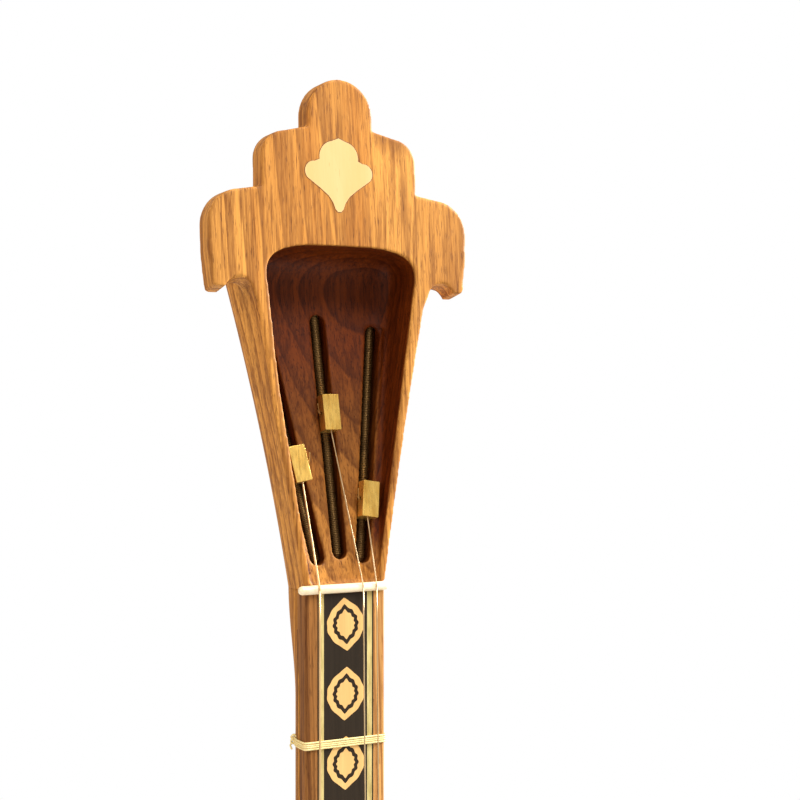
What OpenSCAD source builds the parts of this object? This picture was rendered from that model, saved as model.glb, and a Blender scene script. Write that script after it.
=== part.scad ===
// Long-necked lute of the saz family: a staved pear-shaped bowl, a neck with tied frets,
// and an open pegbox whose three strings are tensioned by screw-driven brass carriers.
// Origin: centre of the nut on the front plane. +Z runs up the neck, -Y is the playing side.

/* [Strings and neck] */
// Open string length from the nut to the bridge
scale_length = 740; // [730:5:745]
// Width of the neck
neck_w = 24; // [23.5:0.5:24.5]
// Depth of the neck behind the front plane, in the fretted stretch
neck_d = 15.5; // [15:0.5:16.5]
// Thickness of the fingerboard plate
board_t = 5; // [4.5:0.25:5.5]
// Number of tied frets
fret_count = 14; // [10:1:14]
// Thickness of one strand of fret gut
gut_d = 0.55; // [0.45:0.05:0.6]
// Diameter of the wound bass string
bass_d = 0.56; // [0.4:0.04:0.64]
// Diameter of the two plain strings
plain_d = 0.36; // [0.2:0.04:0.44]

/* [Pegbox and crown] */
// Backward tilt of the head
head_tilt = 2; // [1:0.5:3]
// Height of the pegbox above the nut
pegbox_h = 98; // [97:0.5:99]
// Thickness of the crown plate
crown_t = 6.5; // [6:0.5:7.5]
// Depth of the trough floor at the nut
floor_start = 1.15; // [1:0.05:1.3]
// Slope of the trough floor
floor_slope = 0.184; // [0.175:0.003:0.19]

/* [Tuners] */
// Diameter of the tuning screws
screw_d = 3; // [2.5:0.25:3]
// Width of the brass carriers' heads
carrier_w = 5; // [4.8:0.1:5.2]
// Length of the brass carriers
carrier_l = 10; // [9:0.5:10]
// Length of the slots that guide the carriers
slot_l = 67.5; // [66.5:0.5:68]

/* [Bowl] */
// Length of the bowl
bowl_l = 395; // [385:5:400]
// Greatest half width of the bowl
bowl_w = 118; // [110:2:124]
// Greatest depth of the bowl
bowl_d = 158; // [145:1:165]
// Number of staves
rib_count = 7; // [5:2:7]
// Thickness of the staves
rib_t = 3; // [2.5:0.5:3.5]
// Thickness of the soundboard
top_t = 3; // [2.5:0.25:3.25]

/* [Hidden] */
side = ["bass", "middle", "treble"];
function fret_name(i) = str("fret_", i < 10 ? "0" : "", i);

walnut = [0.62, 0.40, 0.20];
light_walnut = [0.74, 0.50, 0.26];
ebony = [0.16, 0.12, 0.09];
maple = [0.93, 0.80, 0.50];
spruce = [0.88, 0.72, 0.46];
bone = [0.94, 0.90, 0.76];
gut = [0.86, 0.78, 0.52];
brass = [0.80, 0.62, 0.26];
steel = [0.80, 0.78, 0.72];
eps = 0.01;
far = 60;
fit_gap = 0.05;

// ---------- small helpers ----------
function arc(c, r, a0, a1, n) = [for (i = [0:n]) let (a = a0 + (a1 - a0) * i / n) c + r * [cos(a), sin(a)]];
function flip(points) = [for (i = [len(points) - 1:-1:0]) [-points[i][0], points[i][1]]];
function power_sin(a, p) = pow(max(sin(a), 0), p);
function unit(v) = v / norm(v);
function signed_cos(a, p) = sign(cos(a)) * pow(abs(cos(a)), p);

// Closed solid through a list of rings that all have the same number of points
module loft(rings) {
    n = len(rings[0]);
    last = len(rings) - 1;
    points = [for (ring = rings) each ring];
    first_cap = [[for (j = [0:n - 1]) j]];
    last_cap = [[for (j = [n - 1:-1:0]) last * n + j]];
    walls = [for (i = [0:last - 1], j = [0:n - 1])
        let (k = (j + 1) % n)
        each [[i * n + j, (i + 1) * n + j, (i + 1) * n + k], [i * n + j, (i + 1) * n + k, i * n + k]]];
    polyhedron(points = points, faces = concat(first_cap, last_cap, walls));
}

// Round wire through a list of points, with a slight bead at each bend
bead = 0.08;
module wire(points, r) {
    for (i = [0:len(points) - 2]) {
        run = points[i + 1] - points[i];
        translate(points[i])
            rotate([0, acos(run[2] / norm(run)), atan2(run[1], run[0])])
                cylinder(h = norm(run), r = r, $fn = 24);
    }
    for (i = [1:1:len(points) - 2]) translate(points[i]) sphere(r = r + bead, $fn = 24);
}

// ---------- neck ----------
neck_r = neck_w / 2;
neck_side = neck_d - neck_r;      // straight part of the neck's side
swell_z = -30;                    // the neck's back starts to swell towards the head here
head_d = 20;                      // depth of the neck and pegbox at the nut
body_z = -425;                    // the neck meets the bowl here
tenon = [12, 8, 26];
edge_cut = 0.6;

function smooth(t) = let (u = min(max(t, 0), 1)) u * u * (3 - 2 * u);
function back_depth(z) = z < 0
    ? neck_d + (head_d - neck_d) * smooth((z - swell_z) / -swell_z)
    : head_d + 6.5 * pow(z / pegbox_h, 2);
function half_width(z) = z < 0 ? neck_r : neck_r + 0.155 * z + 0.00038 * z * z;

// Outline of the neck and pegbox across the grain: square front corners and a round back
function section(z, n = 7) =
    let (w = half_width(z), d = back_depth(z) - neck_r)
    concat(
        [[w, 0, z]],
        [for (p = arc([w - neck_r, d], neck_r, 0, 90, n)) [p[0], p[1], z]],
        [for (p = arc([neck_r - w - eps, d], neck_r, 90, 180, n)) [p[0], p[1], z]],
        [[lean(z) - w, 0, z]]
    );

// How far the pegbox's front edge on the bass side is drawn in, towards the crown
function lean(z) = 1.4 * smooth((z - 45) / 30);

module neck_profile(grow = 0) {
    translate([-neck_r - grow, -grow]) square([neck_w + 2 * grow, neck_side + grow]);
    intersection() {
        translate([0, neck_side]) circle(r = neck_r + grow, $fn = 96);
        translate([-far, neck_side - 1]) square(2 * far);
    }
}

module along_neck(z0, z1) translate([0, 0, z0]) linear_extrude(z1 - z0) children();

module behind(y) translate([-far, y, body_z - far]) cube([2 * far, 2 * far, 10 * far]);

module nut_pocket() translate([-neck_w, -1, -nut_r]) cube([2 * neck_w, 1 + nut_seat, 2 * nut_r]);

module neck() color(walnut) {
    difference() {
        union() {
            intersection() {
                loft([for (z = concat([body_z], [for (z = [swell_z:5:0]) z])) section(z, 12)]);
                behind(board_t);
            }
            translate([-tenon[0] / 2, board_t + 0.5, body_z - tenon[2]]) cube([tenon[0], tenon[1], tenon[2] + 1]);
        }
        head_space();
        head_tenon(fit_gap);
    }
}

// Everything above the tilted joint between the neck and the pegbox
module head_space() head() translate([-far, -far, 0]) cube(2 * far + 60);

module head() rotate([-head_tilt, 0, 0]) children();

module head_tenon(grow = 0)
    head() translate([-4 - grow, board_t + 2 - grow, -14 - grow]) cube([8 + 2 * grow, 8 + 2 * grow, 14 + eps + 2 * grow]);

// ---------- fingerboard ----------
band_w = 6.55;                    // half width of the dark band
line_w = 1.5;                     // width of each pale line beside it
edge_line_w = 0.4;                // width of the thin dark line outside
inlay_d = 1.2;
medallion_pitch = 18.7;
medallion_first = -9.75;
medallion_count = 22;
ring_out = [5.6, 7.35];
ring_in = [3.85, 5.35];
centre_out = [3.0, 4.4];
board_z = [body_z, 0];

module fingerboard() color(walnut)
    difference() {
        intersection() {
            along_neck(board_z[0], board_z[1]) difference() {
                neck_profile();
                for (s = [-1, 1]) translate([s * neck_r, 0]) rotate(45) square(edge_cut, center = true);
            }
            translate([-far, -1, body_z - 1]) cube([2 * far, 1 + board_t, 10 * far]);
        }
        inlay_bed(band_w + line_w + edge_line_w);
        nut_pocket();
        head_space();
    }

module inlay_bed(w) translate([-w, -eps, board_z[0]]) cube([2 * w, inlay_d + eps, board_z[1] - nut_r - board_z[0]]);

module inlay_strip(x, w) translate([x, 0, board_z[0]]) cube([w, inlay_d, board_z[1] - nut_r - board_z[0]]);

// Pointed oval: the overlap of two equal circles
module almond(half) {
    r = (half[0] * half[0] + half[1] * half[1]) / (2 * half[0]);
    intersection() {
        translate([r - half[0], 0]) circle(r = r, $fn = 96);
        translate([half[0] - r, 0]) circle(r = r, $fn = 96);
    }
}

module medallions(depth, lift = 0)
    for (i = [0:medallion_count - 1])
        translate([0, depth, medallion_first - i * medallion_pitch]) rotate([90, 0, 0]) linear_extrude(depth + lift) {
            difference() {
                almond(ring_out);
                almond(ring_in);
            }
            almond(centre_out);
        }

module fingerboard_band() color(ebony) {
    difference() {
        inlay_strip(-band_w, 2 * band_w);
        medallions(inlay_d * 0.6, 1);
    }
    for (x = [-band_w - line_w - edge_line_w, band_w + line_w]) inlay_strip(x, edge_line_w);
}

module fingerboard_lines() color(brass)
    for (x = [-band_w - line_w, band_w]) inlay_strip(x, line_w);

module fingerboard_medallions() color(maple) medallions(inlay_d * 0.6);

// ---------- nut ----------
nut_r = 1.2;
nut_seat = 1.1;
nut_x_range = [-14, 12.7];
nut_top = 1.3;

module nut() color(bone)
    difference() {
        translate([nut_x_range[0], 0, 0]) rotate([90, 0, 90]) linear_extrude(nut_x_range[1] - nut_x_range[0]) {
            translate([nut_r - nut_top, 0]) circle(r = nut_r, $fn = 48);
            translate([nut_r - nut_top, -nut_r]) square([nut_seat - nut_r + nut_top, 2 * nut_r]);
        }
        for (i = [0:2]) nut_groove(i);
    }

module heel_collar() color(ebony)
    along_neck(body_z, body_z + 6) difference() {
        neck_profile(1.2);
        neck_profile(0);
        translate([-far, -2 * far]) square(2 * far);
    }

// ---------- tied frets ----------
gut_turns = 4;
gut_gap = 0.03;

function fret_z(i) = -scale_length * (1 - pow(2, -i / 12));

module fret(i) color(gut)
    translate([0, 0, fret_z(i) - gut_turns * gut_d / 2]) {
        gut_ring(gut_gap + gut_d * 0.6, gut_turns * gut_d);
        for (t = [0:gut_turns - 1]) translate([0, 0, t * gut_d + 0.03]) gut_ring(gut_gap + gut_d, gut_d - 0.06);
        // the knot, on the bass side of the neck's back
        translate([0, neck_side, 0]) rotate(155) translate([neck_r + gut_gap + 0.75, 0, -0.15])
            cylinder(h = gut_turns * gut_d + 0.3, r = 0.7, $fn = 24);
    }

module gut_ring(outer, h) linear_extrude(h) difference() {
    neck_profile(outer);
    neck_profile(gut_gap);
}

// ---------- pegbox ----------
opening_top = 92.5;               // the trough's upper end on the front plane
cove_z = 70;                      // the floor starts to curve forward here
opening_start = nut_r + 0.1;
lap_z = 76.3;                     // the crown plate is let into the pegbox above this height
corner_z = 80;

corner_power = 0.24;              // how square the hollow's corners are

function floor_depth(z) = floor_start + floor_slope * z;
function closing(z, z0, n) = z <= z0 ? 1 : pow(max(1 - pow((z - z0) / (opening_top - z0), n), 0), 1 / n);
function trough_depth(z) = floor_depth(z) * closing(z, cove_z, 3);
function opening_w(z) = (10 + 0.16 * z) * closing(z, corner_z, 3.5);
function bass_share(z) = 1 - 0.065 * smooth((z - 50) / 35);   // the bass side flares less

// One cross section of the hollow, open towards the front
function trough_ring(z, n = 12) =
    let (w = max(opening_w(z), 0.02), d = max(trough_depth(z), 0.02), left = w * bass_share(z))
    concat(
        [[w, -3, z]],
        [for (i = [0:n]) let (a = 180 * i / n)
            [(a > 90 ? left : w) * signed_cos(a, corner_power), d * power_sin(a, corner_power), z]],
        [[-left, -3, z]]
    );

trough_stations = concat([opening_start], [for (z = [10:12:70]) z], [74, 78, 81.5, 84.5, 87, 89, 90.5, 91.5, 92.2, opening_top]);

module trough() loft([for (z = trough_stations) trough_ring(z)]);

module pegbox() color(walnut) {
    difference() {
        union() {
            head() difference() {
                loft([for (z = [0:7:pegbox_h]) section(z)]);
                trough();
                translate([-far, -eps, lap_z]) cube([2 * far, crown_t + eps, far]);
                for (i = [0:2]) tuner_place(i) tuner_cuts(i);
            }
            head_tenon();
        }
        nut_pocket();
    }
}

// ---------- tuners: a screw under the trough's floor drives a carrier in a slot ----------
screw_r = screw_d / 2;
screw_under = 2.6;                // the screw's axis below the floor
slot_w = 4.4;
slot_under = 5.2;                 // the slot's bottom below the floor
stem_w = 4.2;                     // the part of the carrier that runs in the slot
head_room = 0.2;                  // gap round the carrier's head
fan = [-9.2, 0, 9.2];
slot_start = [[-6.63, 5.84], [0, 7.14], [6.63, 5.84]];
slot_run = [slot_l, slot_l + 0.9, slot_l];
face_t = [92, 89.9, 92];          // where the bushing's flange seats, along the screw
carrier_t = [27.7, 40.1, 17.3];   // the carriers' centres along the screws
pivot_r = 0.7;
pivot_l = 2.6;
shoulder_t = 0.9;                 // where the screw's full diameter starts
bush_r = 2.4;
bush_l = 9;
flange_r = 4;
flange_t = 1.2;
knob_r = 4.3;
knob_l = 6;
carrier_up = 6.1;                 // from the screw's axis to the carrier's front face
carrier_down = 2;
string_up = 4.4;                  // from the screw's axis to the string's hole
tilt_b = atan(floor_slope);

function tuner_base(i) =
    [slot_start[i][0], floor_depth(slot_start[i][1]) + screw_under / cos(tilt_b), slot_start[i][1]];

module tuner_place(i) translate(tuner_base(i)) rotate([-tilt_b, 0, 0]) rotate([0, fan[i], 0]) children();

function turn_x(p, a) = [p[0], p[1] * cos(a) - p[2] * sin(a), p[1] * sin(a) + p[2] * cos(a)];
function turn_y(p, a) = [p[0] * cos(a) + p[2] * sin(a), p[1], -p[0] * sin(a) + p[2] * cos(a)];
function tuner_point(i, p) = turn_x(tuner_base(i) + turn_x(turn_y(p, fan[i]), -tilt_b), -head_tilt);

module tuner_cuts(i) {
    // the slot, with round ends
    translate([-slot_w / 2, -9, slot_w / 2]) cube([slot_w, 9 + slot_under - screw_under, slot_run[i] - slot_w]);
    for (t = [slot_w / 2, slot_run[i] - slot_w / 2])
        translate([0, -9, t]) rotate([-90, 0, 0]) cylinder(h = 9 + slot_under - screw_under, r = slot_w / 2, $fn = 48);
    // the flat track under the carrier's head
    translate([-carrier_w / 2 - head_room, -9, 0])
        cube([carrier_w + 2 * head_room, 9 - screw_under, slot_run[i]]);
    // the screw's bore, the bushing's seat, the room for the knob, and the pivot hole
    translate([0, 0, slot_run[i] - 1]) cylinder(h = face_t[i] - slot_run[i] + 2, r = screw_r + 0.3, $fn = 48);
    translate([0, 0, face_t[i] - bush_l]) cylinder(h = bush_l + 1, r = bush_r, $fn = 48);
    translate([0, 0, face_t[i]]) cylinder(h = 12, r = flange_r + 1, $fn = 48);
    translate([0, 0, -pivot_l - 0.2]) cylinder(h = pivot_l + 1, r = pivot_r + fit_gap, $fn = 32);
}

module tuner_bushings() color(brass)
    head() for (i = [0:2]) tuner_place(i) difference() {
        union() {
            translate([0, 0, face_t[i] - bush_l]) cylinder(h = bush_l, r = bush_r, $fn = 48);
            translate([0, 0, face_t[i]]) cylinder(h = flange_t, r = flange_r, $fn = 48);
        }
        translate([0, 0, face_t[i] - bush_l - 1]) cylinder(h = bush_l + 4, r = screw_r + fit_gap, $fn = 48);
    }

module tuner_screw(i) color(brass)
    head() tuner_place(i) {
        translate([0, 0, -pivot_l]) cylinder(h = pivot_l + shoulder_t, r = pivot_r, $fn = 32);
        translate([0, 0, shoulder_t]) cylinder(h = 0.6, r1 = screw_r - 0.4, r2 = screw_r, $fn = 48);
        translate([0, 0, shoulder_t + 0.6])
            cylinder(h = face_t[i] + flange_t + knob_l - shoulder_t - 0.6, r = screw_r, $fn = 48);
    }

module tuner_knob(i) color(brass)
    head() tuner_place(i) translate([0, 0, face_t[i] + flange_t + 0.15]) difference() {
        cylinder(h = knob_l, r = knob_r, $fn = 48);
        translate([0, 0, -1]) cylinder(h = knob_l + 2, r = screw_r, $fn = 48);
    }

module tuner_carrier(i) color(brass)
    head() tuner_place(i) translate([0, 0, carrier_t[i]]) difference() {
        union() {
            translate([-carrier_w / 2, -carrier_up, -carrier_l / 2])
                cube([carrier_w, carrier_up - screw_under - head_room, carrier_l]);
            translate([-stem_w / 2, -screw_under - 1, -carrier_l / 2])
                cube([stem_w, screw_under + 1 + carrier_down, carrier_l]);
        }
        translate([0, 0, -carrier_l]) cylinder(h = 2 * carrier_l, r = screw_r + fit_gap, $fn = 48);
        translate([0, -string_up, -carrier_l]) cylinder(h = carrier_l + 0.6, r = hole_r, $fn = 32);
        translate([0, -string_up, 0]) rotate([0, knot_side[i] * 90, 0]) cylinder(h = carrier_w, r = hole_r, $fn = 32);
    }

hole_r = 0.55;
knot_side = [1, -1, -1];          // the side of each carrier that its string's knot lies on

// The knotted end of the string, outside the carrier's cross hole
module string_knot(i) color(steel)
    head() tuner_place(i) translate([knot_side[i] * (carrier_w / 2 + 0.7), -string_up, carrier_t[i]]) {
        sphere(r = 0.65, $fn = 24);
        rotate([0, knot_side[i] * 10, 0]) cylinder(h = 2.4, r = string_r(i), $fn = 16);
    }

// ---------- strings ----------
nut_x = [-8.5, 4.7, 8.8];
bridge_x = [-12, 7, 11];
tail_x = [-9, 3, 9];
bridge_top = 10.2;
saddle_top = 2.6;
cap_z = -817;                     // the flat end of the bowl
cap_t = 3;
tail_pin_y = 7;
tail_pin_r = 1.3;

function string_r(i) = i == 0 ? bass_d / 2 : plain_d / 2;
function string_path(i) =
    let (
        r = string_r(i),
        drop = cap_z - cap_t - r - 0.9,
        exit = tuner_point(i, [0, -string_up, carrier_t[i] - carrier_l / 2 - 0.4])
    ) [
        [tail_x[i] + tail_pin_r + r + bead + 0.03, tail_pin_y, drop],
        [tail_x[i] + tail_pin_r + r + bead + 0.03, -saddle_top + 1, drop],
        [tail_x[i], -saddle_top - r - 0.02, cap_z + 0.2],
        [bridge_x[i], -bridge_top - r - 0.02, -scale_length],
        [nut_x[i], -nut_top + 0.12, 0],
        exit,
        tuner_point(i, [0, -string_up, carrier_t[i] - 0.5])
    ];

module string(i) color(i == 0 ? gut : steel) {
    r = string_r(i);
    wire(string_path(i), r);
    // the loop round its tail pin
    translate([tail_x[i], tail_pin_y, string_path(i)[0][2]])
        rotate_extrude($fn = 48) translate([tail_pin_r + r + bead + 0.03, 0]) circle(r = r + bead, $fn = 24);
}

// The groove for string i where it crosses a nut, bridge or saddle at bend k of its path
module groove(i, k) {
    path = string_path(i);
    wire([for (j = [-1:1]) path[k] + (path[k + j] - path[k]) * (j == 0 ? 0 : 8 / norm(path[k + j] - path[k]))],
         string_r(i) + 0.05);
}

// The groove for string i in the nut: one straight run, wide enough for the string's bend
module nut_groove(i) {
    path = string_path(i);
    run = unit(path[5] - path[4]) - unit(path[3] - path[4]);
    wire([path[4] - 2 * run, path[4] + 2 * run], string_r(i) + 0.2);
}

// ---------- bowl ----------
tail_z = body_z - bowl_l;
s_mid = 142;                      // the widest place, from the tail
s_start = cap_z - tail_z;
end_w = neck_r + 1.2;
end_d = neck_d + 1.2 - top_t;
stations = [3, 8, 16, 28, 44, 66, 92, 118, 145, 172, 200, 228, 256, 282, 306, 328, 348, 366, 382, bowl_l];
across = 4;

function swell(s, most, least, p, q) = s < s_mid
    ? most * sqrt(1 - pow(1 - s / s_mid, 2))
    : least + (most - least) * pow(max(cos(90 * pow((s - s_mid) / (bowl_l - s_mid), p)), 0), q);
function bowl_half(s) = swell(s, bowl_w, end_w, 1.05, 1.35);
function bowl_back(s) = swell(s, bowl_d, end_d, 1.0, 1.15);
function wall(s) = rib_t + 8 * pow(1 - min(s / 45, 1), 2);
function bowl_point(s, a, inset) =
    [(bowl_half(s) - inset) * cos(a), top_t + (bowl_back(s) - inset) * sin(a), tail_z + s];

// One stave, between two angles seen along the bowl
module bowl_rib(k) color(k % 2 == 1 ? walnut : light_walnut) {
    a0 = 180 * (k - 1) / rib_count;
    step = 180 / rib_count / across;
    intersection() {
        loft([for (s = stations) concat(
            [for (j = [0:across]) bowl_point(s, a0 + j * step, 0)],
            [for (j = [across:-1:0]) bowl_point(s, a0 + j * step, wall(s))]
        )]);
        // the staves' ends are planed off just under the collar
        translate([-3 * far, -far, tail_z - far]) cube([6 * far, 6 * far, bowl_l + far - 0.1]);
    }
}

// A block that fills the bowl from one station to another
module bowl_block(from, to)
    loft([for (i = [from:to]) let (s = stations[i] - (i == len(stations) - 1 ? 0.2 : 0))
        [for (j = [0:rib_count * across])
            bowl_point(s, 180 * j / rib_count / across, wall(stations[i]) + glue)]]);

glue = 0.5;

module neck_block() color(spruce)
    difference() {
        bowl_block(16, len(stations) - 1);
        translate([-tenon[0] / 2 - fit_gap, board_t + 0.5 - fit_gap, body_z - tenon[2] - fit_gap])
            cube([tenon[0] + 2 * fit_gap, tenon[1] + 2 * fit_gap, tenon[2] + 2]);
    }

button_y = 21;
button_stem_r = 2.5;
button_stem_l = 18;

module tail_block() color(spruce)
    difference() {
        bowl_block(0, 3);
        translate([0, button_y, cap_z - 1]) cylinder(h = button_stem_l + 2, r = button_stem_r, $fn = 32);
        for (x = tail_x) translate([x, tail_pin_y, cap_z - 1]) cylinder(h = 13, r = tail_pin_r, $fn = 32);
    }

// ---------- soundboard ----------
binding_w = 2.2;
hole_ring_r = 11;
hole_z = -610;

// Outline of the bowl's mouth, drawn in by inset
function mouth(inset) =
    let (zs = concat([s_start, 5, 10, 18], [for (z = [30:14:bowl_l - 8]) z], [bowl_l]))
    let (right = [for (s = zs) [max(bowl_half(s) - inset * (1 + 2.2 * pow(1 - min(s / 30, 1), 2)), 5),
                                tail_z + max(s, s_start + inset) ]])
    concat(right, flip(right));

module plate(t) translate([0, t, 0]) rotate([90, 0, 0]) linear_extrude(t) children();

module wing_line() {
    // the middle board lies between two wide arcs
    intersection() {
        translate([-330, tail_z + 190]) circle(r = 412, $fn = 256);
        translate([330, tail_z + 190]) circle(r = 412, $fn = 256);
    }
}

module soundboard() color(spruce)
    difference() {
        plate(top_t) intersection() {
            polygon(mouth(binding_w));
            wing_line();
        }
        translate([0, -1, hole_z]) rotate([-90, 0, 0]) {
            cylinder(h = top_t + 2, r = 3.5, $fn = 32);
            for (a = [0:60:300]) rotate(a) translate([hole_ring_r, 0]) cylinder(h = top_t + 2, r = 2, $fn = 32);
        }
    }

module soundboard_wings() color(walnut)
    plate(top_t) difference() {
        polygon(mouth(binding_w));
        wing_line();
    }

module soundboard_binding() color(ebony)
    plate(top_t) difference() {
        polygon(mouth(0));
        polygon(mouth(binding_w));
    }

module soundboard_brace() color(spruce)
    for (s = [95, 245]) {
        half = bowl_half(s) - rib_t - 4;
        translate([-half, top_t, tail_z + s - 3]) cube([2 * half, 9, 6]);
    }

// ---------- bridge ----------
bridge_half = 34;
bridge_t = 5;

module bridge() color(light_walnut)
    difference() {
        translate([0, 0, -scale_length - bridge_t + 1]) linear_extrude(bridge_t) difference() {
            polygon([
                [-bridge_half, -0.02], [-bridge_half, -3], [-20, -bridge_top - 0.3], [20, -bridge_top - 0.3],
                [bridge_half, -3], [bridge_half, -0.02]
            ]);
            translate([0, 27]) circle(r = 31.5, $fn = 128);
        }
        for (i = [0:2]) groove(i, 3);
        // the back of the top edge slopes down under the strings
        translate([-bridge_half - 1, -bridge_top - 0.1, -scale_length - 0.6]) rotate([55, 0, 0])
            translate([0, -4, -8]) cube([2 * bridge_half + 2, 4, 8]);
    }

// ---------- tail ----------
module tail_cap() color(ebony)
    difference() {
        translate([0, 0, cap_z - cap_t]) linear_extrude(cap_t)
            polygon(concat([for (a = [0:10:180]) [bowl_half(s_start) * cos(a), top_t + bowl_back(s_start) * sin(a)]],
                           [[-bowl_half(s_start), 0], [bowl_half(s_start), 0]]));
        translate([0, button_y, cap_z - cap_t - 1]) cylinder(h = cap_t + 2, r = button_stem_r, $fn = 32);
        for (x = tail_x) translate([x, tail_pin_y, cap_z - cap_t - 1]) cylinder(h = cap_t + 2, r = tail_pin_r, $fn = 32);
    }

module tail_saddle() color(bone)
    difference() {
        translate([-15, -saddle_top - 0.15, cap_z - cap_t]) cube([30, saddle_top + 0.15, cap_t + 2.5]);
        for (i = [0:2]) groove(i, 2);
    }

module tail_pins() color(brass)
    for (x = tail_x) translate([x, tail_pin_y, cap_z - cap_t - 5]) {
        cylinder(h = 5 + cap_t + 11, r = tail_pin_r, $fn = 32);
        translate([0, 0, -1]) cylinder(h = 2, r = tail_pin_r + 0.9, $fn = 32);
    }

button_r = 6.5;
button_waist = 6;
button_l = 5;

module strap_button() color(brass)
    translate([0, button_y, cap_z - cap_t]) {
        translate([0, 0, -2]) cylinder(h = 2 + cap_t + button_stem_l, r = button_stem_r, $fn = 32);
        translate([0, 0, -button_waist]) cylinder(h = button_waist, r = 3.6, $fn = 48);
        translate([0, 0, -button_waist - button_l]) cylinder(h = button_l, r = button_r, $fn = 48);
    }

// ---------- crown ----------
// One half of the crown's outline in the head's plane, from the top down to the lap joint.
// The half widths of its lobe, step and ear, and its arch, are those of the treble side plus grow.
function crown_half(grow) = concat(
    arc([0.7 + grow[0], 128.2], 9.8, 90, 0, 14),
    [[10.5 + grow[0], 124.6]],
    arc([16.9 + grow[1], 115.7], 7.2, 86, 0, 8),
    [[24.1 + grow[1], 107.6]],
    arc([30.5 + grow[2], 97], 9.5, 86, 0, 10),
    [[39.9 + grow[2], 90], [39.4 + grow[2], 86.5]],
    arc([37.6 + grow[2], 81.9], 1.3, 0, -90, 5),
    arc([31.7 + grow[3], 79.2], 4.1, 20, 170, 10),
    [[half_width(lap_z) + grow[4], lap_z]]
);
treble_grow = [0, 0, 0, 0, 0];
bass_grow = [-1.4, -1.15, -1.5, -1.8, -lean(lap_z)];

// Right half of the palmette inlay, from its top point down
function palmette_half() = concat(
    [[0.05, 121.7]],
    arc([1.4, 116.5], 4.5, 80, -8, 7),
    arc([7.5, 112.5], 2.75, 95, -45, 8),
    [[5.6, 107.9], [3.2, 106], [1.9, 104.2], [1.2, 102.4], [0.5, 101.7]]
);

module headstock_crown() color(light_walnut)
    head() difference() {
        plate(crown_t) polygon(concat(crown_half(treble_grow), flip(crown_half(bass_grow))));
        trough();
        translate([0, -eps, 0]) plate(inlay_depth + eps) palmette();
    }

inlay_depth = 1.5;

module palmette() polygon(concat(palmette_half(), flip(palmette_half())));

module crown_inlay() color(maple) head() plate(inlay_depth) palmette();

// ---------- drawing ----------
neck();
fingerboard();
fingerboard_band();
fingerboard_lines();
fingerboard_medallions();
nut();
heel_collar();
pegbox();
headstock_crown();
crown_inlay();
tuner_bushings();
for (i = [0:2]) {
    tuner_screw(i);
    tuner_knob(i);
    tuner_carrier(i);
    string_knot(i);
    string(i);
}
for (i = [1:fret_count]) fret(i);
for (k = [1:rib_count]) bowl_rib(k);
neck_block();
tail_block();
soundboard();
soundboard_wings();
soundboard_binding();
soundboard_brace();
bridge();
tail_cap();
tail_saddle();
tail_pins();
strap_button();
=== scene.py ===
"""Looks of a long-necked lute: carved walnut head with an open pegbox, inlaid neck, tied frets, staved bowl.

Every piece is made in millimetres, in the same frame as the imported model, and scaled to metres.
"""

import math

import bpy
import numpy as np
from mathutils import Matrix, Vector


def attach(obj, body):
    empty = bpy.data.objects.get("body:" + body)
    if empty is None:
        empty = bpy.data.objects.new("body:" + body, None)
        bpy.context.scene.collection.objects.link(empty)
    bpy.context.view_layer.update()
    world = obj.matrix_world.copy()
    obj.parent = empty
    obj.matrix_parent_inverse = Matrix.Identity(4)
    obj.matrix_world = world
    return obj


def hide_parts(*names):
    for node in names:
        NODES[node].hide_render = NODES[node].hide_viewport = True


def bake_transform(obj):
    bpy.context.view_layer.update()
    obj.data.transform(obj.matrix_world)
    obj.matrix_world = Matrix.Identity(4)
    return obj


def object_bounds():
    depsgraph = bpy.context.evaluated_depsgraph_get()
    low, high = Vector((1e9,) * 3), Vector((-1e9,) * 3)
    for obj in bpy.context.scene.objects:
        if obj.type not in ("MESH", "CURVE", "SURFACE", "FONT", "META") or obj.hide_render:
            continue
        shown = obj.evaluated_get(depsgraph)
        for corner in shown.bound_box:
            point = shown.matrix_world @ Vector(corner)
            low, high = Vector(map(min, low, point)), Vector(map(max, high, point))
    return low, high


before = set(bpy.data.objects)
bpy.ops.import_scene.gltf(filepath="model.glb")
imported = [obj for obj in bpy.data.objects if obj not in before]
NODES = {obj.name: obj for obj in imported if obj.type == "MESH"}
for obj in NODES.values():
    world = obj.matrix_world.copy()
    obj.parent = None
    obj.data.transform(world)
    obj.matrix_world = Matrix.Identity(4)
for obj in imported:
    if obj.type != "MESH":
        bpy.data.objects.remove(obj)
CAD_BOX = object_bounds()

MM = 0.001
TAU = 2 * math.pi
SIDES = ["bass", "middle", "treble"]

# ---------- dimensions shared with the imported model, in millimetres and degrees ----------
# neck
SCALE_LENGTH = 740
NECK_R = 12
NECK_D = 15.5
NECK_SIDE = NECK_D - NECK_R
BODY_Z = -425
SWELL_Z = -30
# pegbox, in the head's plane, which leans back from the front plane
HEAD_D = 20
HEAD_TILT = math.radians(2)
PEGBOX_H = 98
JOINT_Z = -4
# the hollow and its floor, which slopes back towards the top; its sides close in from CORNER_Z and its
# floor rises from COVE_Z
FLOOR_START = 1.15
FLOOR_SLOPE = 0.184
FLOOR_TILT = math.atan(FLOOR_SLOPE)
OPENING_START = 1.3
OPENING_TOP = 92.5
COVE_Z = 70
CORNER_Z = 80
CORNER_POWER = 0.24
CUT_PAST = 3
# crown
CROWN_T = 6.5
LAP_Z = 76.3
EAR_DROP = 1.3
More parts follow.
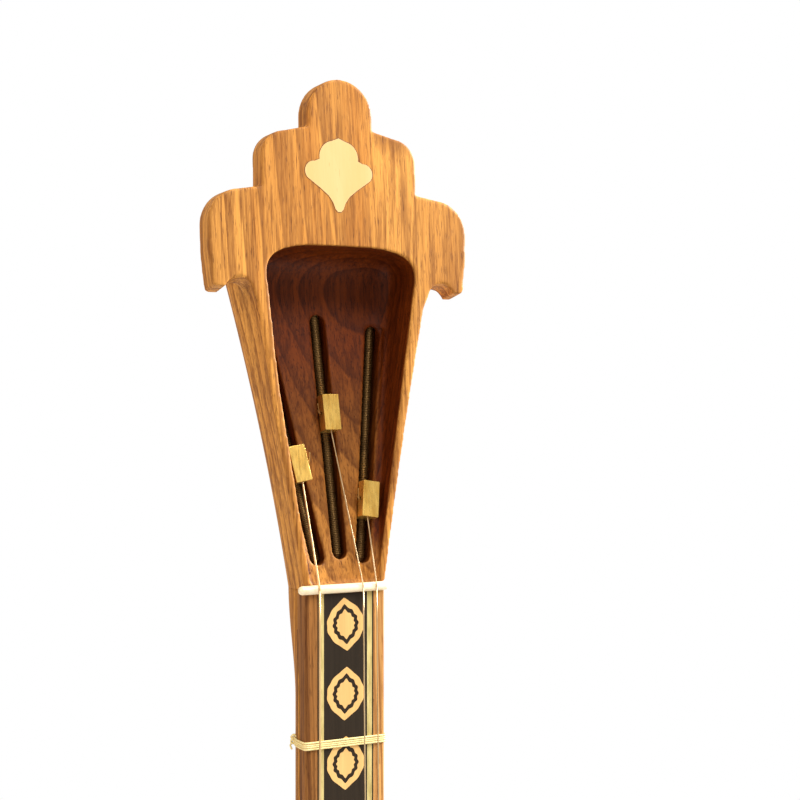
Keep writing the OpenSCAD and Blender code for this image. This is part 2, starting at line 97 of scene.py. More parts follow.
# slots, screws and knobs; z runs up each screw from the lower end of its slot
SLOT_FAN = [-9.2, 0, 9.2]
SLOT_START = [(-6.63, 5.84), (0, 7.14), (6.63, 5.84)]
SLOT_W = 4.4
SLOT_L = [67.5, 68.4, 67.5]
SLOT_UNDER = 5.2
SCREW_UNDER = 2.6
SCREW_R = 1.5
THREAD_PITCH = 0.5
THREAD_DEPTH = 0.27
FACE_T = [92, 89.9, 92]
FLANGE_T = 1.2
KNOB_R = 4.3
KNOB_L = 6
# carriers
CARRIER_T = [27.7, 40.1, 17.3]
CARRIER_W = 5
CARRIER_L = 10
CARRIER_UP = 6.1
CARRIER_DOWN = 2
STEM_W = 4.2
HEAD_ROOM = 0.2
# strings
STRING_UP = 4.4
STRING_R = [0.28, 0.18, 0.18]
STRING_LOOK = ["bronze", "steel", "steel"]
STRING_SLOT = ["bronze_string", "steel_string", "steel_string"]
KNOT_SIDE = [1, -1, -1]
NUT_X = [-8.5, 4.7, 8.8]
BRIDGE_X = [-12, 7, 11]
TAIL_X = [-9, 3, 9]
BEAD = 0.08
# nut and frets
NUT_R = 1.2
NUT_TOP = 1.3
NUT_ENDS = (-14, 12.7)
GUT_D = 0.55
GUT_TURNS = 4
FRET_COUNT = 14
# fingerboard and its inlays
BOARD_T = 5
BAND_W = 6.55
LINE_W = 1.5
EDGE_LINE_W = 0.4
INLAY_D = 1.2
MEDALLION_PITCH = 18.7
MEDALLION_FIRST = -9.75
MEDALLION_COUNT = 22
RING_OUT = (5.6, 7.12)
RING_IN = (3.82, 5.3)
CENTRE_OUT = (2.68, 3.92)
# bridge and tail
BRIDGE_TOP = 10.2
SADDLE_TOP = 2.6
CAP_Z = -817
CAP_T = 3
TAIL_PIN_Y = 7
TAIL_PIN_R = 1.3
# bowl, measured from its tail; S_MID is where it is widest
BOWL_L = 395
BOWL_W = 118
BOWL_D = 158
S_MID = 142
RIB_COUNT = 7
RIB_T = 3
TOP_T = 3
TAIL_Z = BODY_Z - BOWL_L


# ---------- frames of reference ----------
def turn_x(p, a):
    c, s = math.cos(a), math.sin(a)
    return (p[0], p[1] * c - p[2] * s, p[1] * s + p[2] * c)


def turn_y(p, a):
    c, s = math.cos(a), math.sin(a)
    return (p[0] * c + p[2] * s, p[1], -p[0] * s + p[2] * c)


def add(p, q):
    return tuple(a + b for a, b in zip(p, q))


def floor_depth(z):
    return FLOOR_START + FLOOR_SLOPE * z


def in_head(p):
    """From the head's own plane to the part's frame."""
    return turn_x(p, -HEAD_TILT)


def tuner_base(i):
    x, z = SLOT_START[i]
    return (x, floor_depth(z) + SCREW_UNDER / math.cos(FLOOR_TILT), z)


def in_tuner(i, p):
    """From tuner i's frame, with +z up its screw, to the head's plane."""
    return add(tuner_base(i), turn_x(turn_y(p, math.radians(SLOT_FAN[i])), -FLOOR_TILT))


def tuner_point(i, p):
    return in_head(in_tuner(i, p))


# ---------- mesh helpers ----------
def shade(obj, smooth):
    obj.data.polygons.foreach_set("use_smooth", [smooth] * len(obj.data.polygons))


def make(name, verts, faces, material, smooth=True):
    """A mesh object from points in millimetres."""
    mesh = bpy.data.meshes.new(name)
    mesh.from_pydata([Vector(v) * MM for v in verts], [], faces)
    mesh.validate()
    mesh.update()
    obj = bpy.data.objects.new(name, mesh)
    bpy.context.scene.collection.objects.link(obj)
    if material:
        mesh.materials.append(material)
    shade(obj, smooth)
    return obj


def place(obj, move):
    """Moves a mesh's points. The function move takes and gives millimetres."""
    for v in obj.data.vertices:
        v.co = Vector(move(v.co / MM)) * MM
    obj.data.update()
    return obj


def strip_faces(rows, n, caps=True):
    """Faces between rings of n points each, and over the two ends."""
    faces = []
    for i in range(rows - 1):
        for j in range(n):
            k = (j + 1) % n
            faces.append((i * n + j, i * n + k, (i + 1) * n + k, (i + 1) * n + j))
    if caps:
        faces.append(tuple(range(n - 1, -1, -1)))
        faces.append(tuple((rows - 1) * n + j for j in range(n)))
    return faces


def loft(name, rings, material, smooth=True):
    """A closed solid through rings that all have the same number of points."""
    n = len(rings[0])
    verts = [p for ring in rings for p in ring]
    return make(name, verts, strip_faces(len(rings), n), material, smooth)


def apply_modifiers(obj):
    graph = bpy.context.evaluated_depsgraph_get()
    mesh = bpy.data.meshes.new_from_object(obj.evaluated_get(graph), depsgraph=graph)
    old = obj.data
    obj.modifiers.clear()
    obj.data = mesh
    bpy.data.meshes.remove(old)
    return obj


def cut(obj, cutters, operation="DIFFERENCE"):
    for cutter in cutters:
        mod = obj.modifiers.new("cut", "BOOLEAN")
        mod.operation = operation
        mod.solver = "EXACT"
        mod.object = cutter
        apply_modifiers(obj)
        bpy.data.objects.remove(cutter)
    return obj


def soften(obj, voxel, rounds):
    """Remeshes to even small faces and rounds every edge a little."""
    mod = obj.modifiers.new("remesh", "REMESH")
    mod.mode = "VOXEL"
    mod.voxel_size = voxel * MM
    apply_modifiers(obj)
    mod = obj.modifiers.new("smooth", "SMOOTH")
    mod.factor = 0.5
    mod.iterations = rounds
    apply_modifiers(obj)
    shade(obj, True)
    return obj


def bevel(obj, width, segments, angle):
    mod = obj.modifiers.new("bevel", "BEVEL")
    mod.width = width * MM
    mod.segments = segments
    mod.limit_method = "ANGLE"
    mod.angle_limit = math.radians(angle)
    mod.harden_normals = True
    apply_modifiers(obj)
    shade(obj, True)
    return obj


def disc_ring(centre, radius, n, z):
    x, y = centre
    turns = [TAU * j / n for j in range(n)]
    return [(x + radius * math.cos(a), y + radius * math.sin(a), z) for a in turns]


def rod(name, radius, z0, z1, centre=(0, 0), n=48):
    return loft(name, [disc_ring(centre, radius, n, z0), disc_ring(centre, radius, n, z1)], None)


def box(name, low, high, material=None):
    x0, y0, z0 = low
    x1, y1, z1 = high
    rings = [[(x0, y0, z), (x1, y0, z), (x1, y1, z), (x0, y1, z)] for z in (z0, z1)]
    return loft(name, rings, material, smooth=False)


def tube(name, path, radius, material, sides, closed=False):
    """A round wire along a list of points."""
    pts = [Vector(p) for p in path]
    count = len(pts)
    tangents = []
    for i in range(count):
        before = pts[i - 1] if (i > 0 or closed) else pts[i]
        after = pts[(i + 1) % count] if (i < count - 1 or closed) else pts[i]
        tangents.append((after - before).normalized())
    side = tangents[0].orthogonal().normalized()
    verts = []
    for i in range(count):
        side = (side - tangents[i] * side.dot(tangents[i])).normalized()
        other = tangents[i].cross(side)
        for j in range(sides):
            a = TAU * j / sides
            verts.append(tuple(pts[i] + (side * math.cos(a) + other * math.sin(a)) * radius))
    faces = strip_faces(count, sides, caps=not closed)
    if closed:
        base = (count - 1) * sides
        for j in range(sides):
            k = (j + 1) % sides
            faces.append((base + j, base + k, k, j))
    return make(name, verts, faces, material)


def smooth_path(points, per_span=6):
    """Catmull-Rom curve through the points."""
    p = [Vector(q) for q in points]
    p = [p[0] * 2 - p[1]] + p + [p[-1] * 2 - p[-2]]
    out = []
    for i in range(1, len(p) - 2):
        for k in range(per_span):
            t = k / per_span
            out.append(tuple(0.5 * (
                2 * p[i] + (p[i + 1] - p[i - 1]) * t
                + (2 * p[i - 1] - 5 * p[i] + 4 * p[i + 1] - p[i + 2]) * t * t
                + (3 * p[i] - p[i - 1] - 3 * p[i + 1] + p[i + 2]) * t ** 3
            )))
    out.append(tuple(p[-2]))
    return out


def join(name, objects):
    bpy.ops.object.select_all(action="DESELECT")
    for o in objects:
        o.select_set(True)
    bpy.context.view_layer.objects.active = objects[0]
    bpy.ops.object.join()
    objects[0].name = name
    objects[0].data.name = name
    return objects[0]


def ready(obj, body, slot, *replaced):
    """Says which body a piece rides on and the CAD nodes it stands for, and hides those nodes. The slot
    argument is not used.
    """
    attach(obj, body)
    if replaced:
        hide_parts(*replaced)
    return obj


# ---------- materials ----------
def srgb(r, g, b):
    """A linear colour from the usual 0 to 255 values."""
    def lin(c):
        c /= 255
        return c / 12.92 if c <= 0.04045 else ((c + 0.055) / 1.055) ** 2.4
    return (lin(r), lin(g), lin(b), 1)


class Nodes:
    """Short way to build a material's node tree."""

    def __init__(self, name):
        self.material = bpy.data.materials.new(name)
        self.material.use_nodes = True
        self.tree = self.material.node_tree
        self.shader = self.tree.nodes["Principled BSDF"]
        self.coords = self.tree.nodes.new("ShaderNodeTexCoord").outputs["Object"]

    def link(self, value, socket):
        if isinstance(value, bpy.types.NodeSocket):
            self.tree.links.new(value, socket)
        else:
            socket.default_value = value

    def node(self, kind, **settings):
        node = self.tree.nodes.new(kind)
        for key, value in settings.items():
            setattr(node, key, value)
        return node

    def mapping(self, scale=(1, 1, 1), location=(0, 0, 0), rotation=(0, 0, 0), source=None):
        node = self.node("ShaderNodeMapping")
        self.link(source or self.coords, node.inputs["Vector"])
        node.inputs["Scale"].default_value = scale
        node.inputs["Location"].default_value = location
        node.inputs["Rotation"].default_value = rotation
        return node.outputs["Vector"]

    def noise(self, scale, vector, detail, rough, distortion=0):
        node = self.node("ShaderNodeTexNoise")
        self.link(vector, node.inputs["Vector"])
        node.inputs["Scale"].default_value = scale
        node.inputs["Detail"].default_value = detail
        node.inputs["Roughness"].default_value = rough
        node.inputs["Distortion"].default_value = distortion
        return node.outputs["Fac"]

    def growth_rings(self, ring, vector, distortion, detail, detail_scale):
        """Rings about the z axis, ring metres wide."""
        node = self.node("ShaderNodeTexWave", wave_type="RINGS", wave_profile="SAW", rings_direction="Z")
        self.link(vector, node.inputs["Vector"])
        node.inputs["Scale"].default_value = math.pi / (10 * ring)
        node.inputs["Distortion"].default_value = distortion
        node.inputs["Detail"].default_value = detail
        node.inputs["Detail Scale"].default_value = detail_scale
        return node.outputs["Fac"]

    def ramp(self, value, stops):
        """A colour ramp. Each stop is a place and either a colour or a grey level."""
        node = self.node("ShaderNodeValToRGB")
        self.link(value, node.inputs["Fac"])
        ends = node.color_ramp.elements
        while len(ends) > 1:
            ends.remove(ends[-1])
        for i, (position, colour) in enumerate(stops):
            stop = ends[0] if i == 0 else ends.new(position)
            stop.position = position
            stop.color = colour if isinstance(colour, tuple) else (colour, colour, colour, 1)
        return node.outputs["Color"]

    def mix(self, fac, a, b, blend="MIX"):
        node = self.node("ShaderNodeMix", data_type="RGBA", blend_type=blend)
        self.link(fac, node.inputs[0])
        self.link(a, node.inputs[6])
        self.link(b, node.inputs[7])
        return node.outputs[2]

    def maths(self, operation, a, b):
        node = self.node("ShaderNodeMath", operation=operation)
        self.link(a, node.inputs[0])
        self.link(b, node.inputs[1])
        return node.outputs[0]

    def attribute(self, name):
        node = self.node("ShaderNodeAttribute", attribute_name=name)
        return node.outputs["Fac"]

    def bump(self, height, strength, distance):
        node = self.node("ShaderNodeBump")
        self.link(height, node.inputs["Height"])
        node.inputs["Strength"].default_value = strength
        node.inputs["Distance"].default_value = distance
        self.link(node.outputs["Normal"], self.shader.inputs["Normal"])

    def set(self, **values):
        names = {"color": "Base Color", "rough": "Roughness", "metal": "Metallic", "coat": "Coat Weight",
                 "coat_rough": "Coat Roughness", "spec": "Specular IOR Level", "sss": "Subsurface Weight"}
        for key, value in values.items():
            self.link(value, self.shader.inputs[names[key]])
        return self.material


def wood(name, tones, ring_mm, pith, pores=0.6, along="Z", inside=None, line_strength=0.5, painted_bass_shade=None):
    """Wood with growth rings about an axis beside the part, fine fibre, and dark pores along the grain.

    tones are the pale, middle, dark and pore colours. inside paints shade on the points marked inside the
    trough, and the bass-side colour paints shade on the bass side of the neck, which gets less light. A
    higher pores leaves fewer pores.
    """
    pale, mid, dark, pore = tones
    n = Nodes(name)
    turn = {"Z": (0, math.radians(1.5), 0), "X": (0, math.pi / 2, 0)}[along]
    grain = n.mapping(rotation=turn)
    centred = n.mapping((1, 1, 0.08), (-pith[0] * MM, -pith[1] * MM, 0), source=grain)
    rings = n.growth_rings(ring_mm * MM, centred, 3.5, 4, 0.5)
    broad = n.noise(70, n.mapping((1, 1, 0.05), source=grain), 5, 0.6)
    fibre = n.noise(2400, n.mapping((1, 1, 0.05), source=grain), 3, 0.6, 0.4)
    thread = n.noise(1300, n.mapping((1, 1, 0.022), (0.3, 0.1, 0), source=grain), 4, 0.65, 0.5)
    streak = n.noise(520, n.mapping((1, 1, 0.022), source=grain), 6, 0.7, 0.6)
    dots = n.noise(3400, n.mapping((1, 1, 0.07), source=grain), 2, 0.5)
    weak, medium, strong = line_strength * 0.35, line_strength * 0.55, line_strength * 0.9
    base = n.ramp(broad, [(0.32, mid), (0.60, pale)])
    late = n.ramp(rings, [(0.0, 0.0), (0.70, weak), (0.94, line_strength * 0.8), (1.0, 0.1)])
    base = n.mix(late, base, dark)
    base = n.mix(n.ramp(streak, [(0.46, 0.0), (0.58, medium), (0.74, strong)]), base, dark)
    base = n.mix(n.ramp(thread, [(0.50, 0.0), (0.60, medium), (0.72, line_strength)]), base, dark)
    base = n.mix(n.ramp(thread, [(0.28, line_strength * 0.6), (0.44, 0.0)]), base, pale)
    base = n.mix(n.ramp(fibre, [(0.35, 0.0), (0.75, 0.25)]), base, pale)
    speck = n.ramp(dots, [(pores, 0.0), (pores + 0.10, 0.75)])
    base = n.mix(speck, base, pore)
    # painted shade: the hollow of the pegbox is darkened by the 'inside' share, where shadow falls in it
    if inside:
        base = n.mix(n.attribute("inside"), base, n.mix(1.0, base, inside, "MULTIPLY"))
    # painted shade: the bass side of the fingerboard is darkened, as the light from the treble side leaves it
    # darker
    if painted_bass_shade:
        split = n.node("ShaderNodeSeparateXYZ")
        n.link(n.coords, split.inputs[0])
        across = n.maths("ADD", n.maths("MULTIPLY", split.outputs["X"], 1 / (2 * NECK_R * MM)), 0.5)
        share = n.ramp(across, [(0.0, 1.0), (0.2, 0.85), (0.5, 0.0)])
        base = n.mix(share, base, n.mix(1.0, base, painted_bass_shade, "MULTIPLY"))
    n.bump(n.maths("SUBTRACT", n.maths("MULTIPLY", fibre, 0.5), speck), 0.22, 0.00008)
    roughness = n.ramp(fibre, [(0.3, 0.42), (0.7, 0.62)])
    return n.set(color=base, rough=roughness, coat=0.02, coat_rough=0.25, spec=0.15)


def metal(name, bright, dull, rough, share=0.85):
    """Brushed metal with dull patches. share is how metallic it is."""
    n = Nodes(name)
    brushed = n.noise(1800, n.mapping((1, 1, 0.05)), 3, 0.6)
    patch = n.noise(700, n.mapping((1, 1, 0.12)), 4, 0.6)
    tint = n.mix(n.ramp(patch, [(0.38, 0.0), (0.70, 0.75)]), bright, dull)
    tint = n.mix(n.ramp(brushed, [(0.4, 0.0), (0.8, 0.35)]), tint, dull)
    n.bump(brushed, 0.18, 0.00004)
    return n.set(color=tint, metal=share, rough=n.ramp(brushed, [(0.3, rough[0]), (0.75, rough[1])]))


def plain(name, a, b, rough, scale=500, bump=0.1, stretch=(1, 1, 1), coat=0.0, sss=0.0):
    """A material of two close colours, in a fine noise."""
    n = Nodes(name)
    fine = n.noise(scale, n.mapping(stretch), 5, 0.6)
    n.bump(fine, bump, 0.00005)
    n.shader.inputs["Subsurface Radius"].default_value = (0.001, 0.0006, 0.0003)
    colour = n.ramp(fine, [(0.32, a), (0.68, b)])
    roughness = n.ramp(fine, [(0.3, rough[0]), (0.7, rough[1])])
    return n.set(color=colour, rough=roughness, coat=coat, coat_rough=0.15, sss=sss)


PORE = srgb(84, 42, 14)
WALNUT = (srgb(213, 151, 72), srgb(184, 118, 47), srgb(100, 50, 14), PORE)
# a paler copy of the walnut for the fingerboard: painted light, as the light from the treble side brightens
# its face
LIT_WALNUT = (srgb(230, 176, 106), srgb(208, 148, 80), srgb(100, 50, 14), PORE)
STAVE = (srgb(190, 126, 68), srgb(160, 98, 50), srgb(104, 58, 28), PORE)
PALE_STAVE = (srgb(218, 158, 90), srgb(196, 132, 70), srgb(150, 92, 44), PORE)
WING = (srgb(190, 124, 66), srgb(160, 98, 50), srgb(104, 58, 28), PORE)
MULBERRY = (srgb(226, 176, 112), srgb(212, 156, 92), srgb(176, 116, 60), srgb(150, 95, 50))
MAPLE = (srgb(190, 128, 74), srgb(166, 104, 56), srgb(110, 62, 30), PORE)
MEDALLION = (srgb(232, 190, 124), srgb(226, 180, 112), srgb(198, 146, 84), srgb(180, 130, 72))
BOXWOOD = (srgb(222, 184, 130), srgb(214, 174, 114), srgb(204, 162, 98), srgb(190, 146, 88))
BLACKWOOD = (srgb(48, 39, 29), srgb(38, 30, 22), srgb(22, 18, 14), srgb(120, 108, 84))
# painted shade: multiplier for the hollow of the pegbox, where shadow falls
TROUGH_SHADE = (0.25, 0.10, 0.028, 1)
# painted shade: multiplier for the bass side of the fingerboard, away from the light
BASS_SIDE_SHADE = (0.42, 0.33, 0.26, 1)
M = {
    "head": wood("walnut_head", WALNUT, 3.0, (22, 75.7), inside=TROUGH_SHADE, line_strength=0.9),
    "board": wood("walnut_board", LIT_WALNUT, 2.6, (-26, 58), line_strength=0.9, painted_bass_shade=BASS_SIDE_SHADE),
    "medal": wood("boxwood_medallion", MEDALLION, 2.5, (15, 60), 0.70, line_strength=0.25),
    "stave_a": wood("walnut_stave", STAVE, 5, (60, 300)),
    "stave_b": wood("mulberry_stave", PALE_STAVE, 5, (-80, 260)),
    "top": wood("mulberry_top", MULBERRY, 3.2, (4, 700), 0.66, line_strength=0.4),
    "wing": wood("walnut_wing", WING, 4, (10, 400)),
    "box": wood("boxwood", BOXWOOD, 2.5, (15, 60), 0.68, line_strength=0.18),
    "bridge": wood("bridge_wood", MAPLE, 2, (0, 50), along="X"),
    "dark": wood("dark_wood", BLACKWOOD, 2, (8, 40), 0.74, line_strength=0.3),
    "line": plain("pale_line", srgb(212, 196, 134), srgb(166, 148, 86), (0.35, 0.5), 700, 0.1, (1, 1, 0.2)),
    "bone": plain("bone", srgb(244, 233, 204), srgb(234, 217, 178), (0.22, 0.4), 700, 0.06,
                  coat=0.2, sss=0.08),
    "gut": plain("gut", srgb(240, 226, 170), srgb(222, 198, 128), (0.3, 0.45), 2600, 0.12, sss=0.05),
    "glue": plain("glue_line", srgb(96, 56, 24), srgb(70, 40, 18), (0.6, 0.8)),
    "brass": metal("brass", srgb(240, 200, 108), srgb(196, 146, 58), (0.2, 0.45), 0.8),
    "wire": metal("knot_wire", srgb(190, 150, 90), srgb(140, 100, 54), (0.3, 0.5)),
    "thread": metal("screw_brass", srgb(128, 98, 56), srgb(70, 50, 28), (0.3, 0.5)),
    "bronze": metal("wound_bronze", srgb(226, 196, 146), srgb(192, 154, 100), (0.3, 0.45), 0.7),
    "steel": metal("string_steel", srgb(214, 190, 150), srgb(180, 150, 108), (0.25, 0.4), 0.7),
}


# ---------- neck and head sections ----------
def smooth_step(t):
    u = min(max(t, 0), 1)
    return u * u * (3 - 2 * u)


def back_depth(z):
    """How far the back of the neck or pegbox lies behind the front plane."""
    if z < 0:
        return NECK_D + (HEAD_D - NECK_D) * smooth_step((z - SWELL_Z) / -SWELL_Z)
    return HEAD_D + 6.5 * (z / PEGBOX_H) ** 2


def lean(z):
    """How far the front edge of the pegbox is drawn in on the bass side, towards the crown."""
    return 1.4 * smooth_step((z - 45) / 30)


def half_width(z):
    return NECK_R if z < 0 else NECK_R + 0.155 * z + 0.00038 * z * z


def arc(cx, cy, r, a0, a1, n):
    return [(cx + r * math.cos(math.radians(a0 + (a1 - a0) * i / n)),
             cy + r * math.sin(math.radians(a0 + (a1 - a0) * i / n))) for i in range(n + 1)]


def section(z, front=0, n=20):
    """Ring of points round the neck or pegbox: flat front at y=front and a round back."""
    w = half_width(z)
    d = back_depth(z) - NECK_R
    pts = [(w, front)] + arc(w - NECK_R, d, NECK_R, 0, 90, n)
    pts += arc(NECK_R - w - 0.01, d, NECK_R, 90, 180, n) + [(lean(z) - w, front)]
    return [(x, y, z) for x, y in pts]


def closing(z, z0, power):
    """Share of a size that is left at height z, when it rounds off from z0 to the hollow's top."""
    if z <= z0:
        return 1
    return max(1 - ((z - z0) / (OPENING_TOP - z0)) ** power, 0) ** (1 / power)


def opening_halves(z):
    """The hollow's half widths on the treble and bass sides."""
    w = max((10 + 0.16 * z) * closing(z, CORNER_Z, 3.5), 0.02)
    return w, w * (1 - 0.065 * smooth_step((z - 50) / 35))


def trough_ring(z, n=40):
    """Cross section of the hollow, with the round corners of a superellipse."""
    right, left = opening_halves(z)
    d = max(floor_depth(z) * closing(z, COVE_Z, 3), 0.02)
    pts = [(right, -CUT_PAST)]
    for i in range(n + 1):
        a = math.pi * i / n
        c, s = math.cos(a), max(math.sin(a), 0)
        w = left if c < 0 else right
        pts.append((w * math.copysign(abs(c) ** CORNER_POWER, c), d * s ** CORNER_POWER))
    pts.append((-left, -CUT_PAST))
    return [(x, y, z) for x, y in pts]


def flipped(half):
    return [(-x, z) for x, z in reversed(half)]


# how far the lobe, step, ear, hollow and root of each side stand out past the drawn half
TREBLE_GROW = (0, 0, 0, 0, 0)
BASS_GROW = (-1.4, -1.15, -1.5, -1.8, -lean(LAP_Z))


def crown_half(grow, drop, n=24):
    """Half of the crown's outline; drop lowers the underside of its ear."""
    lobe, step, ear, hollow, root = grow
    half = arc(0.7 + lobe, 128.2, 9.8, 90, 0, n) + [(10.5 + lobe, 124.6)]
    half += arc(16.9 + step, 115.7, 7.2, 86, 0, n // 2) + [(24.1 + step, 107.6)]
    half += arc(30.5 + ear, 97, 9.5, 86, 0, n // 2) + [(39.9 + ear, 90), (39.4 + ear, 86.5 - drop)]
    half += arc(37.6 + ear, 81.9 - drop, 1.3, 0, -90, n // 3)
    half += arc(31.7 + hollow, 79.2 - drop, 4.1, 20, 170, n) + [(half_width(LAP_Z) + root, LAP_Z)]
    return half


def crown_outline(drop):
    return crown_half(TREBLE_GROW, drop) + flipped(crown_half(BASS_GROW, drop))


def palmette_outline(n=16):
    half = [(0.02, 121.8)] + arc(1.4, 116.5, 4.5, 80, -8, n) + arc(7.5, 112.5, 2.75, 95, -45, n)
    half += [(5.6, 107.9), (3.2, 106), (1.9, 104.2), (1.2, 102.4), (0.5, 101.7)]
    return half + flipped(half)


def extrude_y(name, outline, y0, y1, material):
    """A plate from an outline in the front plane."""
    rings = [[(x, y, z) for x, z in outline] for y in (y1, y0)]
    return loft(name, rings, material, smooth=False)


# ---------- head ----------
def head_cutter(i):
    """The slot, the screw's bore, the knob's room and the carrier's track of tuner i, in the head's plane."""
    half = SLOT_W / 2
    top = SLOT_L[i] - half
    front = -12
    outline = arc(0, half, half, 180, 360, 24) + arc(0, top, half, 0, 180, 24)
    depths = (SLOT_UNDER - SCREW_UNDER, front)
    slot = loft("slot", [[(x, y, z) for x, z in outline] for y in depths], None)
    bore = rod("bore", SCREW_R + 0.3, SLOT_L[i] - 1, FACE_T[i] + 1)
    room = rod("room", KNOB_R + 0.7, FACE_T[i] + FLANGE_T - 0.4, FACE_T[i] + 12)
    side = CARRIER_W / 2 + 0.35
    track = box("track", (-side, front, 0.5), (side, -SCREW_UNDER, SLOT_L[i]))
    for piece in (slot, bore, room, track):
        place(piece, lambda p: in_tuner(i, p))
    return [slot, bore, room, track]


def paint_trough_shade(obj):
    """Gives each point of the head its share of painted shade inside the trough, where shadow falls on its
    floor, walls and slots.

    The share rises from the nut to the top, is full at the treble wall, and fades out at the rim.
    """
    layer = obj.data.attributes.new("inside", "FLOAT", "POINT")
    values = []
    for v in obj.data.vertices:
        x, y, z = turn_x(v.co / MM, HEAD_TILT)
        right, left = opening_halves(z) if z < OPENING_TOP else (0, 0)
        within = OPENING_START < z < OPENING_TOP and -left - 0.3 < x < right + 0.3
        under = y < floor_depth(z) + SLOT_UNDER + 1
        rim = min(max((y - 0.12) / 0.7, 0), 1)
        height = 0.05 + 0.95 * smooth_step((z + 2) / 72) ** 0.8
        # painted shade: full on the treble wall and the floor beside it, in the treble arm's shadow, and
        # nearly full down in the slots and on the bass wall
        treble_wall = smooth_step((x - right + 3.5) / 2.5) * smooth_step((z - 3) / 12)
        in_slot = y > floor_depth(z) + 0.4
        bass_wall = x < 1.2 - left and z > 4
        share = max(height, treble_wall, 0.9 if in_slot or bass_wall else 0)
        values.append(rim * share if within and under else 0)
    layer.data.foreach_set("value", values)


def build_headstock():
    zs = [JOINT_Z] + list(range(0, PEGBOX_H, 2)) + [PEGBOX_H]
    body = loft("headstock", [section(z) for z in zs], M["head"])
    front = [(x, 0, z) for x, z in crown_outline(0)]
    back = [(x, CROWN_T, z) for x, z in crown_outline(EAR_DROP)]
    crown = loft("crown", [back, front], None)
    cut(body, [crown], "UNION")
    straight, rounded = list(np.linspace(4, COVE_Z, 12)), list(np.linspace(72, 92, 24))
    hollow_z = [OPENING_START, 1.6] + straight + rounded + [92.3, OPENING_TOP]
    hollow = loft("hollow", [trough_ring(z) for z in hollow_z], None)
    cut(body, [hollow])
    for i in range(3):
        cut(body, head_cutter(i))
    place(body, in_head)
    cut(body, [box("nut_seat", (-30, -CUT_PAST, -3), (30, 1.1, NUT_R))])
    soften(body, 0.36, 7)
    joint = place(box("joint", (-40, -20, 2 * JOINT_Z), (40, 60, 0)), in_head)
    cut(body, [joint])
    paint_trough_shade(body)
    ready(body, "body", "walnut", "pegbox", "headstock_crown")


def build_crown_inlay():
    outline = palmette_outline()
    centre = np.array([0, 112])
    glue = 0.16
    out = np.array(outline) - centre
    grown = centre + out * (1 + glue / np.linalg.norm(out, axis=1)[:, None])
    inlay = extrude_y("crown_palmette", outline, -0.05, 1.4, M["box"])
    bevel(inlay, 0.04, 2, 60)
    shade(inlay, False)
    place(inlay, in_head)
    ready(inlay, "body", "boxwood", "crown_inlay")
    line = extrude_y("palmette_glue_line", [tuple(p) for p in grown], -0.025, 1.2, M["glue"])
    place(line, in_head)
    ready(line, "body", "walnut")


def thread_radius(phase, outer):
    """Radius of a rounded thread, from the phase within one turn."""
    t = abs(((phase % 1) - 0.5) * 2)
    return outer - THREAD_DEPTH * smooth_step(t * 1.15 - 0.05)


def build_screw(i):
    name = "tuner_screw_" + SIDES[i]
    start, end = 1.1, FACE_T[i] + FLANGE_T + KNOB_L - 0.3
    sides, rows_per_turn = 20, 6
    rows = int((end - start) / THREAD_PITCH * rows_per_turn)
    lower_pin = [(0.01, -2.4), (0.68, -2.3), (0.68, 0.7)]
    rings = [disc_ring((0, 0), r, sides, z) for r, z in lower_pin]
    for k in range(rows + 1):
        z = start + (end - start) * k / rows
        lead_in = smooth_step((z - start) / 0.7) * 0.45 + 1.05
        ring = []
        for j in range(sides):
            r = min(thread_radius(z / THREAD_PITCH - j / sides, SCREW_R), lead_in)
            ring.append((r * math.cos(TAU * j / sides), r * math.sin(TAU * j / sides), z))
        rings.append(ring)
    rings.append(disc_ring((0, 0), 1.1, sides, end + 0.3))
    screw = loft(name + "_thread", rings, M["thread"])
    place(screw, lambda p: tuner_point(i, p))
    ready(screw, "tuner_" + SIDES[i], "brass", name)


def build_knob(i):
    """Knurled thumb wheel on the screw's upper end."""
    name = "tuner_knob_" + SIDES[i]
    low = FACE_T[i] + FLANGE_T + 0.15
    teeth, n = 36, 144
    profile = [(1.6, 0), (3.7, 0), (4.05, 0.3), (KNOB_R, 0.7), (KNOB_R, 5.3)]
    profile += [(4.05, 5.7), (3.5, KNOB_L), (2.2, KNOB_L), (1.9, 5.6), (1.52, 5.5)]
    rings = []
    for r, z in profile:
        ring = []
        for j in range(n):
            notch = 0.08 * (1 - math.cos(TAU * j * teeth / n)) if r == KNOB_R else 0
            ring.append(((r - notch) * math.cos(TAU * j / n), (r - notch) * math.sin(TAU * j / n), low + z))
        rings.append(ring)
    verts = [p for ring in rings for p in ring]
    faces = strip_faces(len(rings), n, caps=False)
    last = (len(rings) - 1) * n
    faces += [(last + j, last + (j + 1) % n, (j + 1) % n, j) for j in range(n)]
    knob = make(name + "_knurled", verts, faces, M["brass"])
    bevel(knob, 0.05, 1, 50)
    place(knob, lambda p: tuner_point(i, p))
    ready(knob, "tuner_" + SIDES[i], "brass", name)


def build_carrier(i):
    """Square brass block over the slot, with a stem that the screw runs through."""
    name = "tuner_carrier_" + SIDES[i]
    t = CARRIER_T[i]
    half = CARRIER_L / 2
    low_y = -SCREW_UNDER - HEAD_ROOM
    head = box(name, (-CARRIER_W / 2, -CARRIER_UP, t - half), (CARRIER_W / 2, low_y, t + half), M["brass"])
    stem = box("stem", (-STEM_W / 2, low_y - 1, t - half), (STEM_W / 2, CARRIER_DOWN, t + half))
    cut(head, [stem], "UNION")
    bevel(head, 0.3, 1, 40)
    hole = rod("hole", 0.5, t - half - 1, t, centre=(0, -STRING_UP), n=24)
    x0, x1 = sorted((0, KNOT_SIDE[i] * CARRIER_W))
    side_hole = box("side_hole", (x0, -STRING_UP - 0.45, t - 0.45), (x1, -STRING_UP + 0.45, t + 0.45))
    way = rod("way", SCREW_R + 0.05, t - half - 1, t + half + 1)
    cut(head, [hole, side_hole, way])
    shade(head, False)
    place(head, lambda p: tuner_point(i, p))
    head.name = name + "_block"
    ready(head, "carrier_" + SIDES[i], "brass", name)


